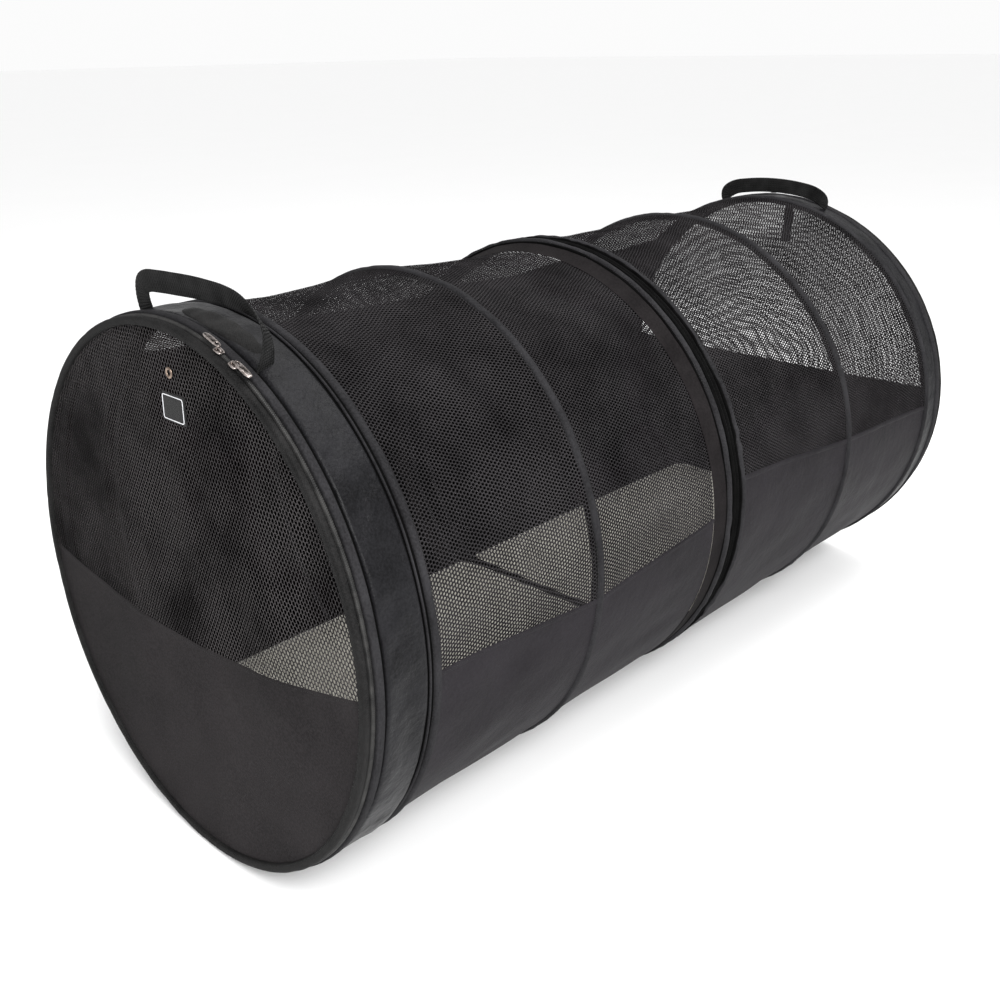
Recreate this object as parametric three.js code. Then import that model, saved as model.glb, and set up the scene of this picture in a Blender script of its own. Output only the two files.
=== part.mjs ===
// Collapsible two-part mesh tunnel: eight sprung hoops in fabric sleeves, fabric walls between them,
// a zipped disc door at each end, a zip that joins the two halves, carry handles and floor boards.
// Millimetres. The tunnel lies along Y with its front door towards -Y, +Z is up, and the origin is on
// the floor under the middle of the tunnel.
import * as THREE from 'three';

// Driving dimensions
const diameter = 609.6;
const length = 1193.8;
const facets = 36;
const gap = 0.3;

const radius = diameter / 2;
const facetHalfAngle = Math.PI / facets;
const toVertexRadius = 1 / Math.cos(facetHalfAngle);

// Hoop sleeves: an inverted U of fabric round a sprung wire
const sleeveWidth = 14;
const sleeveDepth = 11.8;
const sleeveFabric = 1.5;
const wireRadius = 2;
const wireCentreRadius = radius - 6.3;
const wireSides = 5;

// Where the sleeves stand, measured from the front face of the tunnel
const hoopStations = {
  front: 21.3,
  ring_b: 88,
  ring_c: 330,
  ring_d: 583.4,
  ring_e: 610.4,
  ring_f: 885,
  ring_g: 1138,
  rear: length - 21.3,
};

// Walls
const wallOuterRadius = radius - 4.8;
const wallThickness = 3;
const bandOuterRadius = radius - 2.8;
const nearSeamAngle = 91;
const farSeamAngle = -46;
const seamSplit = 0.15;
const jointStripWidth = 23;
const arcStep = 7.5;

// Doors and their zips
const doorDepth = 8.8;
const doorRadius = radius - 2.8;
const rimWidth = 10;
const rimClearance = 1;
const panelFront = 3;
const panelThickness = 2;
const hingeHeight = 45;
const hingeSlack = 0.6;
const frontPanelTop = 268;
const rearPanelTop = 316;
const coilStart = 9.5;
const coilWidth = 4.5;
const coilOuterRadius = radius - 2.3;
const coilDepth = 6.5;

// Zip sliders and their pulls
const sliderLength = 11;
const sliderWidth = 10;
const sliderHeight = 4.6;
const sliderInnerRadius = radius - 0.5;
const pullLength = 26;
const pullWidth = 8;
const pullThickness = 1.6;
const frontSliderAngles = { left: 20.3, right: 25 };
const rearSliderAngles = { left: -2.4, right: 2.4 };
const middleSliderAngle = -150;

// Carry handles
const webbingWidth = 25;
const webbingThickness = 2.5;
const handleStation = 33;
const frontHandle = { centreAngle: 11, halfAngle: 19, rise: 50, lean: 22 };
const rearHandle = { centreAngle: 0, halfAngle: 17, rise: 27, lean: 0 };
const handleSquareness = 2.6;
const handleSteps = 20;

// Floor boards
const boardWidth = 364;
const boardThickness = 9;
const boardUnderside = 77.3;
const boardCorner = 22;
const boardSpans = { front: [25, 592.5], rear: [601, length - 25] };

// Finishes
function finish(colour, roughness, metalness = 0) {
  return new THREE.MeshStandardMaterial({ color: colour, roughness, metalness });
}
const finishes = {
  wire: () => finish(0x8c8f92, 0.35, 0.9),
  sleeve: () => finish(0x2b2a2c, 0.8),
  band: () => finish(0x2a292c, 0.6),
  mesh: () => finish(0x222124, 0.9),
  floor: () => finish(0x333136, 0.75),
  coil: () => finish(0x1a1a1b, 0.55),
  slider: () => finish(0xa9a39c, 0.3, 0.9),
  webbing: () => finish(0x1d1d1e, 0.85),
  board: () => finish(0x9c978a, 0.95),
  label: () => finish(0x131314, 0.7),
};

const tunnel = new THREE.Group();
tunnel.position.set(0, -length / 2, radius);

function add(name, geometry, material, parent = tunnel) {
  const mesh = new THREE.Mesh(geometry, material);
  mesh.name = name;
  parent.add(mesh);
  return mesh;
}

// Angles round the tunnel run from its top towards +X, in degrees.
function onCircle(r, angle) {
  const a = THREE.MathUtils.degToRad(angle);
  return new THREE.Vector2(r * Math.sin(a), r * Math.cos(a));
}

function arcPoints(r, from, to, stepAngle = arcStep) {
  const steps = Math.max(1, Math.round(Math.abs(to - from) / stepAngle));
  return Array.from({ length: steps + 1 }, (_, i) => onCircle(r, from + ((to - from) * i) / steps));
}

// A ring that turns a closed section, given as [radius, distance along the tunnel], round the axis
function ring(section) {
  const points = section.map(([r, y]) => new THREE.Vector2(r * toVertexRadius, y));
  points.push(points[0].clone());
  return new THREE.LatheGeometry(points, facets, facetHalfAngle);
}

// A flat outline in X and Z, drawn out along the tunnel from one station to another
function prism(outline, from, to) {
  const geometry = new THREE.ExtrudeGeometry(new THREE.Shape(outline), {
    depth: to - from,
    bevelEnabled: false,
  });
  geometry.rotateX(Math.PI / 2);
  geometry.translate(0, to, 0);
  return geometry;
}

function arcWall(outerRadius, thickness, fromAngle, toAngle, from, to) {
  const outer = arcPoints(outerRadius, fromAngle, toAngle);
  const inner = arcPoints(outerRadius - thickness, toAngle, fromAngle);
  return prism([...outer, ...inner], from, to);
}

// Hoops and their sleeves
function hoopAndSleeve(name, station) {
  const half = sleeveWidth / 2;
  const innerHalf = half - sleeveFabric;
  const inside = radius - sleeveDepth;
  const roof = radius - sleeveFabric;
  const channel = ring([
    [inside, -half],
    [radius, -half],
    [radius, half],
    [inside, half],
    [inside, innerHalf],
    [roof, innerHalf],
    [roof, -innerHalf],
    [inside, -innerHalf],
  ]);
  add(`${name}_sleeve`, channel, finishes.sleeve()).position.y = station;

  const wire = Array.from({ length: wireSides }, (_, i) => {
    const a = (2 * Math.PI * i) / wireSides;
    return [wireCentreRadius + wireRadius * Math.cos(a), wireRadius * Math.sin(a)];
  });
  add(`${name}_hoop`, ring(wire), finishes.wire()).position.y = station;
}

for (const [name, station] of Object.entries(hoopStations)) {
  hoopAndSleeve(name, station);
}

// Fabric walls between neighbouring hoops: mesh over the top and down one side to the near seam,
// closed fabric for the rest of the way round
function clearSpan(first, second) {
  const inset = sleeveWidth / 2 + gap;
  return [hoopStations[first] + inset, hoopStations[second] - inset];
}

// The bay in front of the middle joint ends early, at a strip of closed fabric beside the joint.
const bays = [
  clearSpan('ring_b', 'ring_c'),
  clearSpan('ring_c', 'ring_d').map((y, end) => y - end * (jointStripWidth + gap)),
  clearSpan('ring_e', 'ring_f'),
  clearSpan('ring_f', 'ring_g'),
];
bays.forEach((span, i) => {
  const meshEnds = [farSeamAngle + seamSplit, nearSeamAngle - seamSplit];
  const closedEnds = [nearSeamAngle + seamSplit, 360 + farSeamAngle - seamSplit];
  const meshWall = arcWall(wallOuterRadius, wallThickness, ...meshEnds, ...span);
  const closedWall = arcWall(wallOuterRadius, wallThickness, ...closedEnds, ...span);
  add(`mesh_wall_${i + 1}`, meshWall, finishes.mesh());
  add(`closed_wall_${i + 1}`, closedWall, finishes.floor());
});

// Closed fabric bands at the two ends and beside the middle joint, and the zip coils
function hollowRing(outerRadius, thickness, from, to) {
  return ring([
    [outerRadius - thickness, from],
    [outerRadius, from],
    [outerRadius, to],
    [outerRadius - thickness, to],
  ]);
}

function band(name, outerRadius, span) {
  add(name, hollowRing(outerRadius, wallThickness, ...span), finishes.band());
}

band('front_band', bandOuterRadius, clearSpan('front', 'ring_b'));
band('rear_band', bandOuterRadius, clearSpan('ring_g', 'rear'));
const stripEnd = clearSpan('ring_c', 'ring_d')[1];
band('joint_strip', wallOuterRadius, [stripEnd - jointStripWidth, stripEnd]);

function coil(name, from) {
  add(name, hollowRing(coilOuterRadius, coilDepth, from, from + coilWidth), finishes.coil());
}

coil('front_zip_coil', coilStart);
coil('rear_zip_coil', length - coilStart - coilWidth);
const middleCoilWidth = length / 2 - hoopStations.ring_d - sleeveWidth / 2 - 1.5 * gap;
coil('middle_zip_front', length / 2 - gap / 2 - middleCoilWidth);
coil('middle_zip_rear', length / 2 + gap / 2);

// Door parts are drawn for the front door; the rear ones are the same outlines from the other end.
function atEnd(outline, end, from, to) {
  return end === 'front' ? prism(outline, from, to) : prism(outline, length - to, length - from);
}

// The part of a disc between two heights above the floor
function discSlice(r, low, high) {
  const angleAt = (height) => THREE.MathUtils.radToDeg(Math.acos((height - radius) / r));
  const top = high >= radius + r ? 0 : angleAt(high);
  const bottom = low <= radius - r ? 180 : angleAt(low);
  const right = arcPoints(r, top, bottom);
  const left = arcPoints(r, -bottom, -top);
  const closed = top === 0 ? left.slice(0, -1) : left;
  return bottom === 180 ? [...right, ...closed.slice(1)] : [...right, ...closed];
}

function hingeAngle(r) {
  const rise = (radius - hingeHeight - hingeSlack / 2) / r;
  return 180 - THREE.MathUtils.radToDeg(Math.acos(rise));
}

function door(end, panelTop) {
  const rimEnd = hingeAngle(doorRadius) - gap;
  const outer = arcPoints(doorRadius, -rimEnd, rimEnd);
  const inner = arcPoints(doorRadius - rimWidth, rimEnd, -rimEnd);
  add(`${end}_door_rim`, atEnd([...outer, ...inner], end, gap, doorDepth), finishes.webbing());

  const insetRadius = doorRadius - rimWidth - rimClearance;
  const panelBottom = hingeHeight + hingeSlack;
  const back = panelFront + panelThickness;
  const panel = discSlice(insetRadius, panelBottom, panelTop - gap);
  add(`${end}_door_panel`, atEnd(panel, end, panelFront, back), finishes.floor());
  const mesh = discSlice(insetRadius, panelTop, 2 * radius);
  add(`${end}_door_mesh`, atEnd(mesh, end, panelFront, back), finishes.mesh());

  const sill = discSlice(doorRadius, 0, hingeHeight - hingeSlack);
  add(`${end}_sill`, atEnd(sill, end, gap, doorDepth), finishes.floor());
}

door('front', frontPanelTop);
door('rear', rearPanelTop);

// Sewn label and eyelet on the front door, strap on the rear door
const label = { x: 24, height: 519, width: 42, depth: 30, thickness: 1 };
const labelGeometry = new THREE.BoxGeometry(label.width, label.thickness, label.depth);
const labelMesh = add('front_door_label', labelGeometry, finishes.label());
labelMesh.position.set(label.x, panelFront - gap - label.thickness / 2, label.height - radius);

const eyelet = { x: 23, height: 556, outer: 6, inner: 3, thickness: 1.2, sides: 16 };
const eyeletSection = [
  [eyelet.inner, -eyelet.thickness],
  [eyelet.outer, -eyelet.thickness],
  [eyelet.outer, 0],
  [eyelet.inner, 0],
  [eyelet.inner, -eyelet.thickness],
].map(([r, y]) => new THREE.Vector2(r, y));
const eyeletGeometry = new THREE.LatheGeometry(eyeletSection, eyelet.sides);
const eyeletMesh = add('front_door_eyelet', eyeletGeometry, finishes.slider());
eyeletMesh.position.set(eyelet.x, panelFront - gap, eyelet.height - radius);

const strap = { x: 12, top: 592, width: 16, drop: 66, thickness: 1.6 };
const strapGeometry = new THREE.BoxGeometry(strap.width, strap.thickness, strap.drop);
const strapMesh = add('rear_door_strap', strapGeometry, finishes.webbing());
const strapStation = length - panelFront + gap + strap.thickness / 2;
strapMesh.position.set(strap.x, strapStation, strap.top - strap.drop / 2 - radius);

// A zip slider rides on the coil. Its pull lies along the zip, away from the other slider.
function slider(prefix, side, station, angle, pullSide) {
  const place = new THREE.Group();
  place.position.y = station;
  place.rotation.y = THREE.MathUtils.degToRad(angle);
  tunnel.add(place);

  const middle = sliderInnerRadius + sliderHeight / 2;
  const body = new THREE.BoxGeometry(sliderLength, sliderWidth, sliderHeight);
  add(`${prefix}_slider${side}`, body, finishes.slider(), place).position.z = middle;

  const outline = [
    new THREE.Vector2(0, -pullWidth / 4),
    new THREE.Vector2(pullLength - pullWidth / 2, -pullWidth / 2),
    new THREE.Vector2(pullLength, -pullWidth / 4),
    new THREE.Vector2(pullLength, pullWidth / 4),
    new THREE.Vector2(pullLength - pullWidth / 2, pullWidth / 2),
    new THREE.Vector2(0, pullWidth / 4),
  ];
  const plate = new THREE.ExtrudeGeometry(new THREE.Shape(outline), {
    depth: pullThickness,
    bevelEnabled: false,
  });
  const pull = add(`${prefix}_pull${side}`, plate, finishes.slider(), place);
  pull.position.z = sliderInnerRadius + sliderHeight + gap;
  pull.rotation.z = pullSide > 0 ? 0 : Math.PI;
}

const endSliderStation = hoopStations.front - (sleeveWidth + sliderWidth) / 2 - 2 * gap;
for (const [side, direction] of [['left', -1], ['right', 1]]) {
  slider('front', `_${side}`, endSliderStation, frontSliderAngles[side], direction);
  slider('rear', `_${side}`, length - endSliderStation, rearSliderAngles[side], direction);
}
slider('middle', '', length / 2, middleSliderAngle, 1);

// Webbing handle: a squared arch from one sewn end to the other
function handle(name, { centreAngle, halfAngle, rise, lean }, station) {
  const halfSpan = radius * Math.sin(THREE.MathUtils.degToRad(halfAngle));
  const leanAngle = THREE.MathUtils.degToRad(lean);
  const edgeDrop = (webbingWidth / 2) * Math.sin(leanAngle);
  const footHeight = radius * Math.cos(THREE.MathUtils.degToRad(halfAngle)) + edgeDrop + webbingThickness;
  const arch = (a, b) =>
    Array.from({ length: handleSteps + 1 }, (_, i) => {
      const t = (Math.PI * i) / handleSteps;
      const power = 2 / handleSquareness;
      const across = Math.sign(Math.cos(t)) * Math.abs(Math.cos(t)) ** power;
      return new THREE.Vector2(a * across, b * Math.abs(Math.sin(t)) ** power);
    });
  const outer = arch(halfSpan + webbingThickness, rise);
  const inner = arch(halfSpan, rise - webbingThickness).reverse();
  const geometry = prism([...outer, ...inner], -webbingWidth / 2, webbingWidth / 2);

  const place = new THREE.Group();
  place.position.y = station;
  place.rotation.y = THREE.MathUtils.degToRad(centreAngle);
  tunnel.add(place);
  const strapArch = add(name, geometry, finishes.webbing(), place);
  strapArch.position.z = footHeight;
  strapArch.rotation.x = leanAngle;
}

handle('front_handle', frontHandle, handleStation);
handle('rear_handle', rearHandle, length - handleStation);

// Floor boards, one in each half
for (const [end, [from, to]] of Object.entries(boardSpans)) {
  const halfWidth = boardWidth / 2;
  const outline = new THREE.Shape();
  const corner = (x, y, start) => outline.absarc(x, y, boardCorner, start, start + Math.PI / 2, false);
  corner(halfWidth - boardCorner, to - boardCorner, 0);
  corner(boardCorner - halfWidth, to - boardCorner, Math.PI / 2);
  corner(boardCorner - halfWidth, from + boardCorner, Math.PI);
  corner(halfWidth - boardCorner, from + boardCorner, 1.5 * Math.PI);
  const board = new THREE.ExtrudeGeometry(outline, {
    depth: boardThickness,
    bevelEnabled: false,
    curveSegments: 5,
  });
  add(`floor_board_${end}`, board, finishes.board()).position.z = boardUnderside - radius;
}

export default tunnel;
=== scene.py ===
"""Looks for the collapsible mesh tunnel: curved cloth, zips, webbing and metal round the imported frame.

Metres, in the row frame: the tunnel lies along Y with its front door towards -Y, and Z is up.
Angles round the tunnel run from its top towards +X, in degrees.
"""
import math

import bmesh
import bpy
import numpy as np
from mathutils import Matrix, Vector


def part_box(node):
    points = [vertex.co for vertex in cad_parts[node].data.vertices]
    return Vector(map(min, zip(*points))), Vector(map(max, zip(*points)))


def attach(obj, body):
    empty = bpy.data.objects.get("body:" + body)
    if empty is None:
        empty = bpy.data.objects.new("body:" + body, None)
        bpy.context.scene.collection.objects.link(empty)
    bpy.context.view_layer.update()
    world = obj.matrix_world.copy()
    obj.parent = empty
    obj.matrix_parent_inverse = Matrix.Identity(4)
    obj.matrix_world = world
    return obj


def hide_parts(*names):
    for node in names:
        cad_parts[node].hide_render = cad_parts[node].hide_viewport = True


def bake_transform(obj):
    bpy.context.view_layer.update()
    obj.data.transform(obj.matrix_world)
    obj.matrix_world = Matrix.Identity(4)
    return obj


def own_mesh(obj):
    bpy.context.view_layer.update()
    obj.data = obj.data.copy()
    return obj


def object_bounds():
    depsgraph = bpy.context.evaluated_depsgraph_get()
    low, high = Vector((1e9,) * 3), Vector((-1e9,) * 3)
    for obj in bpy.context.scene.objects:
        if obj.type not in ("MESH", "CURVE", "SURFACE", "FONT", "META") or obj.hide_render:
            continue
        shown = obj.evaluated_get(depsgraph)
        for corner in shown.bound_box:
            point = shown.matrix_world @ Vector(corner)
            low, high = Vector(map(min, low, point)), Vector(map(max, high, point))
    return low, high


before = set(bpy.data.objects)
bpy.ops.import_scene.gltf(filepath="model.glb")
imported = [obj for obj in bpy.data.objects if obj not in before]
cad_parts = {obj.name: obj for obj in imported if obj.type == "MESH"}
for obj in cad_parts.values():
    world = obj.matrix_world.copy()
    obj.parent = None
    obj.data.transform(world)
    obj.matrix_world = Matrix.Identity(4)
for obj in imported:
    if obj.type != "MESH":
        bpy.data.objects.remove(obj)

cad_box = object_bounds()
MM = 0.001

# ---------------------------------------------------------------- places taken from the frame

RINGS = ("front", "ring_b", "ring_c", "ring_d", "ring_e", "ring_f", "ring_g", "rear")


def centre(node):
    low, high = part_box(node)
    return (low + high) / 2


def half_size(node):
    low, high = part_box(node)
    return (high - low) / 2


STATION = {ring: centre(f"{ring}_sleeve").y for ring in RINGS}
RADIUS = half_size("ring_c_sleeve").x
SLEEVE_HALF = half_size("ring_c_sleeve").y
FRONT_FACE, REAR_FACE = cad_box[0][1], cad_box[1][1]


def around(angle, r, y):
    """A point on a circle round the tunnel's axis; arrays give arrays of points."""
    a = np.radians(angle)
    a, r, y = np.broadcast_arrays(a, r, y)
    return np.stack([r * np.sin(a), y, RADIUS + r * np.cos(a)], axis=-1)


def spans(count, low=0.0, high=1.0):
    return np.linspace(low, high, count)


def ripple(points, seed, frequency, stretch=(1, 1, 1), waves=9):
    """Seeded soft unevenness of about -1 to 1; frequency is in waves per metre."""
    rng = np.random.default_rng(seed)
    total = 0
    for _ in range(waves):
        direction = rng.normal(size=3)
        direction *= np.array(stretch) * rng.uniform(0.6, 1.6) / np.linalg.norm(direction)
        total = total + np.sin(2 * math.pi * frequency * (points @ direction) + rng.uniform(0, 2 * math.pi))
    return total / math.sqrt(waves)


def unit(v):
    return v / np.maximum(np.linalg.norm(v, axis=-1, keepdims=True), 1e-12)


def signed_power(value, exponent):
    """A power that keeps the sign; exponents below 1 turn a circle into a rounded square."""
    return np.sign(value) * np.abs(value) ** exponent


def distance_along(path):
    """How far along a path each of its points is."""
    return np.concatenate([[0], np.cumsum(np.linalg.norm(np.diff(path, axis=0), axis=1))])


def look_up(at, run, values):
    """Rows of values read off at some distances along a path."""
    return np.stack([np.interp(at, run, values[:, k]) for k in range(3)], axis=-1)


# ---------------------------------------------------------------- pieces

STITCH_PITCH = 3.4 * MM
STITCH_SIZE = (1.25 * MM, 0.42 * MM, 0.42 * MM)  # half its length, width and height


class Piece:
    """Gathers grids of points and small solids into one mesh."""

    def __init__(self, name, matrix=None):
        self.name = name
        self.matrix = np.eye(4) if matrix is None else np.array(matrix)
        self.points, self.faces, self.uvs, self.slots, self.materials = [], [], [], [], []
        self.count = 0

    def _slot(self, material):
        if material not in self.materials:
            self.materials.append(material)
        return self.materials.index(material)

    def _add(self, points, faces, uvs, material):
        points = points @ self.matrix[:3, :3].T + self.matrix[:3, 3]
        self.points.append(points)
        self.faces.append(faces + self.count)
        self.uvs.append(uvs)
        self.slots.append(np.full(len(faces), self._slot(material)))
        self.count += len(points)

    def grid(self, points, material, uv=None, wrap=(False, False), flip=False):
        """A patch of quads over an array of points, joined end to end where wrap says so."""
        rows, columns = points.shape[:2]
        if uv is None:
            uv = np.zeros((rows + 1, columns + 1, 2))
        i, j = np.meshgrid(
            np.arange(rows - (not wrap[0])), np.arange(columns - (not wrap[1])), indexing="ij"
        )
        corners = [(i, j), (i + 1, j), (i + 1, j + 1), (i, j + 1)]
        if flip:
            corners.reverse()
        faces = np.stack([(a % rows) * columns + b % columns for a, b in corners], axis=-1)
        loop_uv = np.stack([uv[a, b] for a, b in corners], axis=2)
        self._add(points.reshape(-1, 3), faces.reshape(-1, 4), loop_uv.reshape(-1, 4, 2), material)

    def stitches(self, path, normal):
        """A row of sewing stitches along a path, each one a small eight-sided bead."""
        run = distance_along(path)
        at = np.arange(STITCH_PITCH / 2, run[-1], STITCH_PITCH)
        middle = look_up(at, run, path)
        along = unit(look_up(at + STITCH_PITCH / 4, run, path) - look_up(at - STITCH_PITCH / 4, run, path))
        up = unit(look_up(at, run, normal))
        side = np.cross(along, up)
        length, width, height = STITCH_SIZE
        reach = [along * length, side * width, -along * length, -side * width, up * height, -up * height]
        points = np.stack([middle + offset for offset in reach], axis=1).reshape(-1, 3)
        bead = np.array([
            [0, 1, 4], [1, 2, 4], [2, 3, 4], [3, 0, 4],
            [1, 0, 5], [2, 1, 5], [3, 2, 5], [0, 3, 5],
        ])
        faces = (bead[None] + 6 * np.arange(len(at))[:, None, None]).reshape(-1, 3)
        faces = np.concatenate([faces, faces[:, 2:]], axis=1)
        self._add(points, faces, np.zeros((len(faces), 4, 2)), THREAD)

    def build(self, body=None, replaces=(), solid=False):
        """The mesh as a Blender object; solid pieces get welded points and outward faces."""
        mesh = bpy.data.meshes.new(self.name)
        points = np.concatenate(self.points)
        faces, uvs = [], []
        for group, group_uv in zip(self.faces, self.uvs):
            for face, corners in zip(group.tolist(), group_uv.tolist()):
                kept = 3 if face[2] == face[3] else 4
                faces.append(face[:kept])
                uvs.extend(corners[:kept])
        mesh.from_pydata(points.tolist(), [], faces)
        mesh.uv_layers.new(name="cloth").data.foreach_set("uv", np.array(uvs).ravel())
        mesh.polygons.foreach_set("material_index", np.concatenate(self.slots).astype(np.int32))
        for material in self.materials:
            mesh.materials.append(material)
        mesh.shade_smooth()
        if solid:
            work = bmesh.new()
            work.from_mesh(mesh)
            bmesh.ops.remove_doubles(work, verts=work.verts, dist=1e-6)
            bmesh.ops.recalc_face_normals(work, faces=work.faces)
            work.to_mesh(mesh)
            work.free()
        piece = bpy.data.objects.new(self.name, mesh)
        bpy.context.scene.collection.objects.link(piece)
        if replaces:
            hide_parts(*replaces)
        if body:
            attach(piece, body)
        return piece


# ---------------------------------------------------------------- materials

class Shader:
    """A principled material with short ways to add and join nodes."""

    def __init__(self, name, **settings):
        self.material = bpy.data.materials.new(name)
        self.material.use_nodes = True
        self.tree = self.material.node_tree
        self.surface = self.tree.nodes["Principled BSDF"]
        for socket, value in settings.items():
            self.surface.inputs[socket.replace("_", " ")].default_value = value

    def feed(self, socket, value):
        if isinstance(value, bpy.types.NodeSocket):
            self.tree.links.new(value, socket)
        else:
            socket.default_value = value

    def node(self, kind, inputs=(), **settings):
        node = self.tree.nodes.new(kind)
        for key, value in settings.items():
            setattr(node, key, value)
        for key, value in dict(inputs).items():
            self.feed(node.inputs[key], value)
        return node

    def math(self, operation, *values):
        node = self.tree.nodes.new("ShaderNodeMath")
        node.operation = operation
        for socket, value in zip(node.inputs, values):
            self.feed(socket, value)
        return node.outputs[0]

    def place(self):
        return self.node("ShaderNodeTexCoord").outputs["Object"]

    def cloth_axes(self):
        uv = self.node("ShaderNodeUVMap", uv_map="cloth").outputs[0]
        split = self.node("ShaderNodeSeparateXYZ", {"Vector": uv})
        return split.outputs["X"], split.outputs["Y"]

    def noise(self, scale, detail=3, roughness=0.55, where=None):
        inputs = {"Vector": where or self.place(), "Scale": scale, "Detail": detail, "Roughness": roughness}
        return self.node("ShaderNodeTexNoise", inputs).outputs["Fac"]

    def ramp(self, value, from_low, from_high, to_low=0.0, to_high=1.0, smooth=False):
        node = self.node(
            "ShaderNodeMapRange", interpolation_type="SMOOTHSTEP" if smooth else "LINEAR"
        )
        for socket, number in zip(node.inputs, (value, from_low, from_high, to_low, to_high)):
            self.feed(socket, number)
        return node.outputs[0]

    def mix(self, factor, low, high):
        node = self.node("ShaderNodeMix", data_type="RGBA")
        self.feed(node.inputs[0], factor)
        self.feed(node.inputs[6], low)
        self.feed(node.inputs[7], high)
        return node.outputs[2]

    def colour(self, value):
        self.feed(self.surface.inputs["Base Color"], value)

    def rough(self, value):
        self.feed(self.surface.inputs["Roughness"], value)

    def bump(self, height, distance, strength=1.0):
        inputs = {"Height": height, "Distance": distance, "Strength": strength}
        previous = self.surface.inputs["Normal"].links
        if previous:
            inputs["Normal"] = previous[0].from_socket
        self.feed(self.surface.inputs["Normal"], self.node("ShaderNodeBump", inputs).outputs[0])


def grey(r, g=None, b=None):
    return (r, r if g is None else g, r if b is None else b, 1.0)


def weave(shader, pitch):
    """Plain weave: threads over and under each other, at a pitch in metres."""
    u, v = shader.cloth_axes()
    turn = 2 * math.pi / pitch
    across = shader.math("SINE", shader.math("MULTIPLY", u, turn))
    along = shader.math("SINE", shader.math("MULTIPLY", v, turn))
    return shader.ramp(shader.math("MULTIPLY", across, along), -1, 1)


def cloth_material(name, dark, light, pitch, roughness, bump=0.12, patch=14, sheen=0.0, gloss=0.03):
    """Woven cloth; bump is in millimetres and patch is the scale of its uneven tone."""
    shader = Shader(name, Sheen_Weight=sheen, Sheen_Roughness=0.45, Specular_IOR_Level=gloss)
    threads = weave(shader, pitch)
    patches = shader.ramp(shader.noise(patch, 4), 0.35, 0.65)
    fuzz = shader.noise(900, 2)
    grain = shader.ramp(shader.noise(430, 1), 0.36, 0.64)
    tone = shader.math("MULTIPLY_ADD", threads, 0.25, shader.math("MULTIPLY", patches, 0.45))
    tone = shader.math("MULTIPLY_ADD", grain, 0.3, tone)
    shader.colour(shader.mix(tone, dark, light))
    spread = shader.math("MULTIPLY_ADD", patches, 0.1, shader.math("MULTIPLY", fuzz, 0.08))
    shader.rough(shader.math("ADD", spread, roughness - 0.09))
    shader.bump(threads, bump * MM)
    shader.bump(fuzz, 0.05 * MM)
    return shader


WALL_HOLE_PITCH = 4.3 * MM
DOOR_HOLE_PITCH = 5.0 * MM
HOLE_WANDER = 1.6  # how far the rows of holes drift, in pitches
HOLE_HEIGHT = 0.86  # the holes are a little taller than wide


def mesh_material(name, dark, light, pitch, hole=0.35):
    """Knitted mesh: staggered holes, cut by the material's alpha; hole is a radius in pitches."""
    shader = Shader(name, Specular_IOR_Level=0.0)
    u, v = shader.cloth_axes()
    stretch = shader.node("ShaderNodeTexNoise", {"Vector": shader.place(), "Scale": 16, "Detail": 2})
    uneven = shader.node("ShaderNodeSeparateXYZ", {"Vector": stretch.outputs["Color"]})
    u = shader.math("MULTIPLY_ADD", uneven.outputs["X"], HOLE_WANDER * pitch, u)
    v = shader.math("MULTIPLY_ADD", uneven.outputs["Y"], HOLE_WANDER * pitch, v)
    row = pitch * math.sqrt(3)

    def distance(offset):
        across = shader.math("ADD", shader.math("DIVIDE", u, pitch), offset)
        along = shader.math("ADD", shader.math("DIVIDE", v, row), offset)
        x = shader.math("SUBTRACT", shader.math("FRACT", across), 0.5)
        y = shader.math("SUBTRACT", shader.math("FRACT", along), 0.5)
        y = shader.math("MULTIPLY", y, math.sqrt(3) * HOLE_HEIGHT)
        square = shader.math("MULTIPLY_ADD", x, x, shader.math("MULTIPLY", y, y))
        return shader.math("SQRT", square)

    to_hole = shader.math("MINIMUM", distance(0.0), distance(0.5))
    cover = shader.ramp(to_hole, hole - 0.02, hole + 0.02)
    thread = shader.ramp(to_hole, hole, hole + 0.16, smooth=True)
    patches = shader.ramp(shader.noise(11, 3), 0.35, 0.65)
    fuzz = shader.noise(1200, 2)
    # Painted shade: the threads darken towards each hole's edge, where they round off; the patches are the
    # cloth's own uneven tone.
    tone = shader.math("MULTIPLY_ADD", thread, 0.5, shader.math("MULTIPLY", patches, 0.5))
    shader.colour(shader.mix(tone, dark, light))
    shader.rough(shader.math("MULTIPLY_ADD", fuzz, 0.2, 0.62))
    shader.bump(thread, 0.5 * MM, 0.8)
    shader.bump(fuzz, 0.06 * MM)
    shader.feed(shader.surface.inputs["Alpha"], cover)
    return shader.material


def band_material():
    """Coated polyester with soft creases and a satin gloss; its lighter patches of tone are painted satin
    highlights.
    """
    shader = cloth_material(
        "band", grey(0.0010, 0.0010, 0.0012), grey(0.0120, 0.0118, 0.0134), 1.2 * MM,
        roughness=0.40, bump=0.05, patch=20, gloss=0.09,
    )
    crease = shader.noise(26, 5, 0.6)
    shader.bump(crease, 4.5 * MM, 1.0)
    return shader.material


def wall_material():
    shader = cloth_material(
        "closed_wall", grey(0.0055, 0.0049, 0.0057), grey(0.0205, 0.0184, 0.0212), 1.5 * MM,
        roughness=0.56, bump=0.08, patch=9, gloss=0.04,
    )
    crease = shader.noise(16, 4, 0.6)
    shader.bump(crease, 4.0 * MM, 0.8)
    return shader.material


def door_panel_material():
    shader = cloth_material(
        "door_panel", grey(0.0075, 0.0067, 0.0070), grey(0.0290, 0.0262, 0.0272), 1.6 * MM,
        roughness=0.7, bump=0.14, patch=6,
    )
    crease = shader.noise(9, 4, 0.5)
    shader.bump(crease, 4.0 * MM, 0.4)
    return shader.material


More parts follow.
